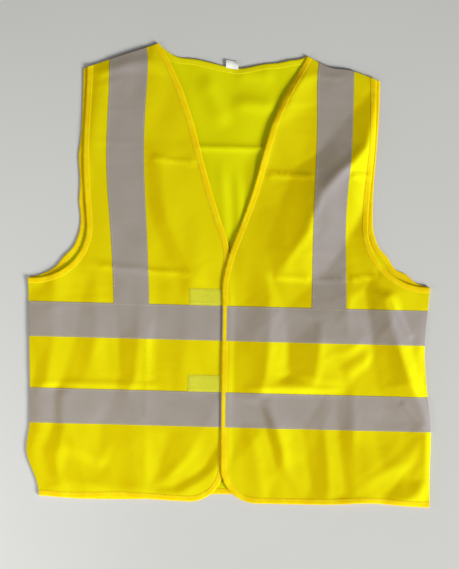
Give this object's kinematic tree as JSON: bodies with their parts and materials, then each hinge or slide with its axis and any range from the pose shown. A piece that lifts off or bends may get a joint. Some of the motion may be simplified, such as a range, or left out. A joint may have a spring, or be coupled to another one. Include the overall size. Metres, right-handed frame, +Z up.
{
  "type": "high visibility vest",
  "caption": "Sleeveless high visibility vest lying flat, front up: yellow knit panels, grey reflective bands and shoulder tapes, bound edges, open V-neck front with hook and loop patches.",
  "frame": {"origin": "middle of the vest's outline, on the surface it lies on", "axes": "vest flat on its back: +X towards the wearer's left side, +Y from hem to shoulders, +Z up from the back to the fronts"},
  "size_m": [0.5782, 0.6577, 0.0099],
  "materials": {
    "fabric": "fluorescent yellow fine polyester knit, matt",
    "reflective_tape": "grey retroreflective glass-bead tape, satin",
    "binding": "orange-yellow woven polyester binding, satin",
    "loop_pile": "pale yellow-green brushed loop pile",
    "hook_pile": "pale yellow-green moulded hooks on woven tape",
    "seam_thread": "yellow overlock thread",
    "label": "plain white woven satin label, blank"
  },
  "bodies": {
    "garment": {"back_panel": "fabric", "left_front_side": "fabric", "right_front_side": "fabric", "upper_band": "reflective_tape", "lower_band": "reflective_tape", "left_shoulder_tape": "reflective_tape", "right_shoulder_tape": "reflective_tape", "neck_binding": "binding", "left_armhole_binding": "binding", "right_armhole_binding": "binding", "hem_binding": "binding", "left_side_seam": "seam_thread", "right_side_seam": "seam_thread", "left_shoulder_seam": "seam_thread", "right_shoulder_seam": "seam_thread"},
    "left_front": {"left_front_flap": "fabric", "left_upper_band_end": "reflective_tape", "left_lower_band_end": "reflective_tape", "left_front_binding": "binding", "upper_hook_patch": "hook_pile", "lower_hook_patch": "hook_pile"},
    "right_front": {"right_front_flap": "fabric", "right_upper_band_end": "reflective_tape", "right_lower_band_end": "reflective_tape", "right_front_binding": "binding", "upper_loop_patch": "loop_pile", "lower_loop_patch": "loop_pile"},
    "label": {"neck_label": "label"}
  },
  "joints": [
    {"name": "left_front_open", "type": "hinge", "parent": "garment", "child": "left_front", "pos_m": [0.092, 0, 0.01325], "axis": [0, 1, 0], "range_deg": [0, 172]},
    {"name": "right_front_open", "type": "hinge", "parent": "garment", "child": "right_front", "pos_m": [-0.092, 0, 0.01075], "axis": [0, -1, 0], "range_deg": [0, 172]},
    {"name": "label_flip", "type": "hinge", "parent": "garment", "child": "label", "pos_m": [0, 0.2998, 0.0016], "axis": [1, 0, 0], "range_deg": [0, 170]}
  ]
}
